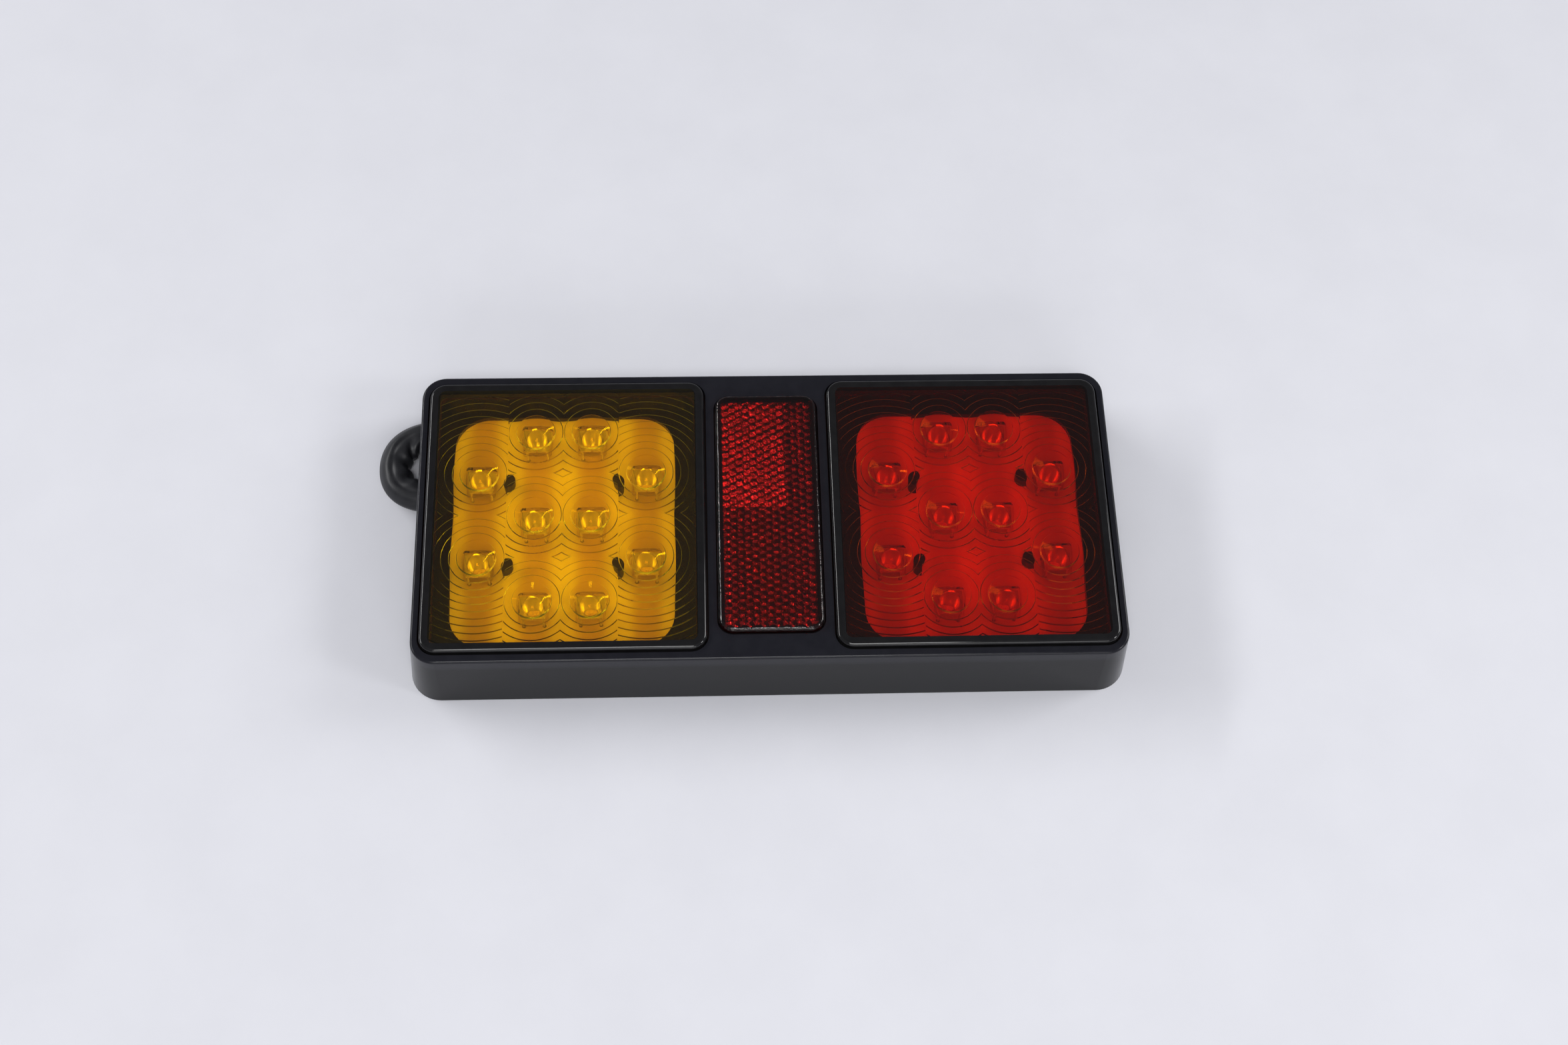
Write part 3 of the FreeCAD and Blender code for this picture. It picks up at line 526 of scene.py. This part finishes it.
def make_led(name, x, y):
    """A square clear package with soft edges and a smooth dome."""
    bm = bmesh.new()
    foot, half, radius = BOARD + STANDOFF, LED["half"], LED["dome"]
    top, steps, rays = foot + LED["height"], 9, 48
    levels = [(half - 0.12, foot), (half, foot + 0.12), (half - 0.2, top - 0.3), (half - 0.5, top)]
    loops = [[bm.verts.new((x + px, y + py, z)) for px, py in outline(2 * h, 2 * h, 0.7, steps=11)] for h, z in levels]
    for k in range(steps):
        a = math.radians(90 * k / steps)
        loops.append(circle(bm, x, y, top + radius * math.sin(a), radius * math.cos(a), rays, turn=5.5))
    for i, (low, high) in enumerate(zip(loops, loops[1:])):
        for face in between(bm, low, high):
            face.material_index = int(i >= len(levels))
    tip = bm.verts.new((x, y, top + radius))
    for k in range(rays):
        bm.faces.new((loops[-1][k], loops[-1][(k + 1) % rays], tip)).material_index = 1
    bm.faces.new(list(reversed(loops[0])))
    o = to_object(bm, f"{name}_package", [RESIN, DOME], sharp=38.0)
    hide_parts(name)


def make_dies(colour, side):
    """The chip at the bottom of each LED's cup, with its drop of phosphor."""
    bm = bmesh.new()
    level = BOARD + STANDOFF + LED["cup_floor"] + 0.4
    for x, y in led_places(side):
        for half, low, high in ((0.62, level, level + 0.12), (0.22, level + 0.12, level + 0.34)):
            ring = outline(2 * half, 2 * half, half * 0.6, steps=3)
            a = [bm.verts.new((x + px, y + py, low)) for px, py in ring]
            b = [bm.verts.new((x + px * 0.9, y + py * 0.9, high)) for px, py in ring]
            between(bm, a, b)
            bm.faces.new(b)
    to_object(bm, f"{colour}_led_dies", [DIE])


# ---------------------------------------------------------------- lead
ROUTE = [
    (22.0, 37.4, 6.6), (8.0, 37.4, 6.6), (-18.0, 36.4, 4.2), (-50.0, 37.4, 4.2), (-78.0, 36.4, 4.2),
    (-110.0, 36.8, 4.2), (-110.0, 13.4, 4.2), (-78.0, 16.3, 4.2), (-38.0, 16.4, 4.2),
    (4.0, 15.2, 4.2), (36.0, 16.0, 4.2), (64.0, 15.5, 4.2), (80.0, -12.2, 4.2), (64.0, -39.9, 4.2),
    (30.0, -39.4, 4.2),
]


def centreline():
    """Points down the middle of the lead, from a smooth spline through its route."""
    curve = bpy.data.curves.new("lead_line", "CURVE")
    curve.dimensions = "3D"
    spline = curve.splines.new("NURBS")
    spline.points.add(len(ROUTE) - 1)
    for p, q in zip(spline.points, ROUTE):
        p.co = (q[0] * MM, q[1] * MM, q[2] * MM, 1)
    spline.order_u = 3
    spline.use_endpoint_u = True
    spline.resolution_u = 48
    bare = bpy.data.objects.new("lead_line", curve)
    mesh = bpy.data.meshes.new_from_object(bare)
    line = np.array([v.co for v in mesh.vertices], float)
    bpy.data.meshes.remove(mesh)
    bpy.data.objects.remove(bare)
    bpy.data.curves.remove(curve)
    return line


def evenly(line, step):
    """The same line with points at even steps, and how far along it each one lies."""
    along = np.concatenate([[0], np.cumsum(np.linalg.norm(np.diff(line, axis=0), axis=1))])
    at = np.linspace(0, along[-1], int(along[-1] / step) + 1)
    return np.stack([np.interp(at, along, line[:, k]) for k in range(3)], axis=1), at


def make_sleeve():
    """The vinyl sleeve: lies slack over its cores, creased lengthwise and gathered where it folds."""
    line, along = evenly(centreline(), LEAD_STEP)
    tangent = np.gradient(line, axis=0)
    tangent /= np.linalg.norm(tangent, axis=1)[:, None]
    bend = np.gradient(tangent, along, axis=0)
    rays, radius = 56, LEAD_RADIUS * MM
    bm = bmesh.new()
    loops, up = [], np.array([0.0, 0.0, 1.0])
    for i, (p, t) in enumerate(zip(line, tangent)):
        side = np.cross(t, up)
        side /= np.linalg.norm(side)
        top = np.cross(side, t)
        tight = min(1.0, np.linalg.norm(bend[i]) * 0.011)
        inward = bend[i] / max(np.linalg.norm(bend[i]), 1e-9)
        s = along[i] * 1000
        slack = min(1.0, max(0.0, (s - 8.0) / 6.0))
        ring = []
        for k in range(rays):
            a = 2 * math.pi * k / rays
            out = side * math.cos(a) + top * math.sin(a)
            facing = float(out @ inward) * tight
            long_crease = noise.noise(Vector((math.cos(a) * 1.5, math.sin(a) * 1.5, s * 0.03)))
            fine_crease = noise.noise(Vector((math.cos(a) * 2.6 + 9, math.sin(a) * 2.6, s * 0.09)))
            lean = 0.9 * math.sin(a) + 1.6 * noise.noise(Vector((math.cos(a) + 3, math.sin(a), s * 0.06)))
            fold = (0.5 + 0.5 * math.cos(s * 0.85 + lean * 2.0)) ** 1.3
            reach = max(0.0, 0.35 + 0.65 * facing / max(tight, 1e-6)) * tight
            r = radius * (0.985 + slack * (0.045 * long_crease + 0.025 * fine_crease) - 0.19 * fold * reach
                          + 0.42 * max(facing, 0.0) - 0.08 * tight * abs(math.sin(a)))
            place = p + out * r
            place[2] = max(place[2], 0.0001)
            ring.append(bm.verts.new(Vector(place / MM)))
        loops.append(ring)
    for low, high in zip(loops, loops[1:]):
        between(bm, low, high)
    bm.faces.new(loops[0])
    bm.faces.new(list(reversed(loops[-1])))
    bmesh.ops.recalc_face_normals(bm, faces=bm.faces[:])
    vinyl = plain("sleeve_vinyl", (0.009, 0.009, 0.0115), (0.015, 0.015, 0.018), (0.36, 0.5), scale=300.0,
                  relief=0.12)
    o = to_object(bm, "lead_sleeve", [vinyl], sharp=60.0)
    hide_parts("cable_sleeve")


# ---------------------------------------------------------------- the lamp
def make_camera():
    """The camera at the photograph's angle."""
    data = bpy.data.cameras.new("camera")
    data.sensor_width, data.lens = 36.0, 48.411
    data.clip_start, data.clip_end = 0.01, 20
    cam = bpy.data.objects.new("camera", data)
    cam.location = (-0.022029, -0.27439, 0.558152)
    cam.rotation_euler = [math.radians(a) for a in (26.8576, -1.927, -1.7605)]
    scene.collection.objects.link(cam)
    scene.camera = cam


def area(name, place, size, power):
    """A softbox that faces the lamp."""
    data = bpy.data.lights.new(name, "AREA")
    data.shape, (data.size, data.size_y), data.energy = "RECTANGLE", size, power
    o = bpy.data.objects.new(name, data)
    o.location = place
    o.rotation_euler = (-Vector(place)).to_track_quat("-Z", "Y").to_euler()
    scene.collection.objects.link(o)


def make_room():
    """The pale floor, the soft surround and the softboxes."""
    bm = bmesh.new()
    bmesh.ops.create_grid(bm, x_segments=8, y_segments=8, size=2500.0)
    for v in bm.verts:
        v.co *= MM
    mesh = bpy.data.meshes.new("floor")
    bm.to_mesh(mesh)
    bm.free()
    floor = bpy.data.objects.new("floor", mesh)
    floor.location.z = -0.00005
    scene.collection.objects.link(floor)
    mesh.materials.append(plain("pale_floor", (0.79, 0.79, 0.84), (0.81, 0.81, 0.86), (0.55, 0.7), scale=30.0,
                                relief=0.01))
    world = bpy.data.worlds.new("studio")
    scene.world = world
    world.use_nodes = True
    tree = world.node_tree
    back = tree.nodes["Background"]
    back.inputs["Color"].default_value = (0.90, 0.93, 1.0, 1)
    # the surround is dimmest where the flat lenses mirror it towards the photograph's camera
    coords, dot = node(tree, "ShaderNodeTexCoord"), node(tree, "ShaderNodeVectorMath", operation="DOT_PRODUCT")
    tree.links.new(coords.outputs["Generated"], dot.inputs[0])
    dot.inputs[1].default_value = (0.04, 0.45, 0.89)
    dim = span(tree, dot.outputs["Value"], From_Min=0.80, From_Max=0.94, To_Min=0.28, To_Max=0.17)
    tree.links.new(dim, back.inputs["Strength"])
    area("front_box", (-0.05, -0.75, 1.35), (0.55, 0.34), 6.3)
    area("front_low", (0.1, -1.5, 0.72), (1.3, 0.4), 5.5)
    area("left_strip", (-1.25, 0.55, 0.88), (1.3, 0.13), 10.4)
    area("right_box", (1.1, -0.45, 0.85), (0.26, 0.26), 3.0)
    area("right_soft", (1.4, 0.4, 0.9), (0.6, 0.8), 7.6)
    scene.view_settings.view_transform = "Standard"


def dress_cad():
    """Gives every CAD node the material of what it is."""
    by_ending = {"housing": BLACK, "_seal": SEALANT, "_circuit_board": MASK, "_led_frames": TIN, "_board_posts": POST,
                 "_potting": POTTING, "_resistors": CHIP, "_diode": CHIP, "_insert": BRASS, "_tip": COPPER,
                 "reflector_backplate": BACKING, "cable_grommet": RUBBER, "cable_strain_relief": RUBBER}
    for name in nodes:
        for ending, surface in by_ending.items():
            if name.endswith(ending):
                dress(name, surface)
    colours = {"earth": "white", "tail": "brown", "stop": "red", "turn": "yellow"}
    for k, (core, colour) in enumerate(colours.items(), start=1):
        dress(f"core_{core}", CORES[colour])
        dress(f"supply_core_{k}", CORES[colour])
    dress("board_link_feed", CORES["red"])
    dress("board_link_earth", CORES["white"])


make_camera()
make_sleeve()
make_room()
dress_cad()
for colour_, side_ in LAMPS.items():
    make_lens(colour_, side_, *LENS_MATERIALS[colour_])
    for i_, (x_, y_) in enumerate(led_places(side_), start=1):
        make_led(f"{colour_}_led_{i_}", x_, y_)
    make_dies(colour_, side_)
make_reflector()
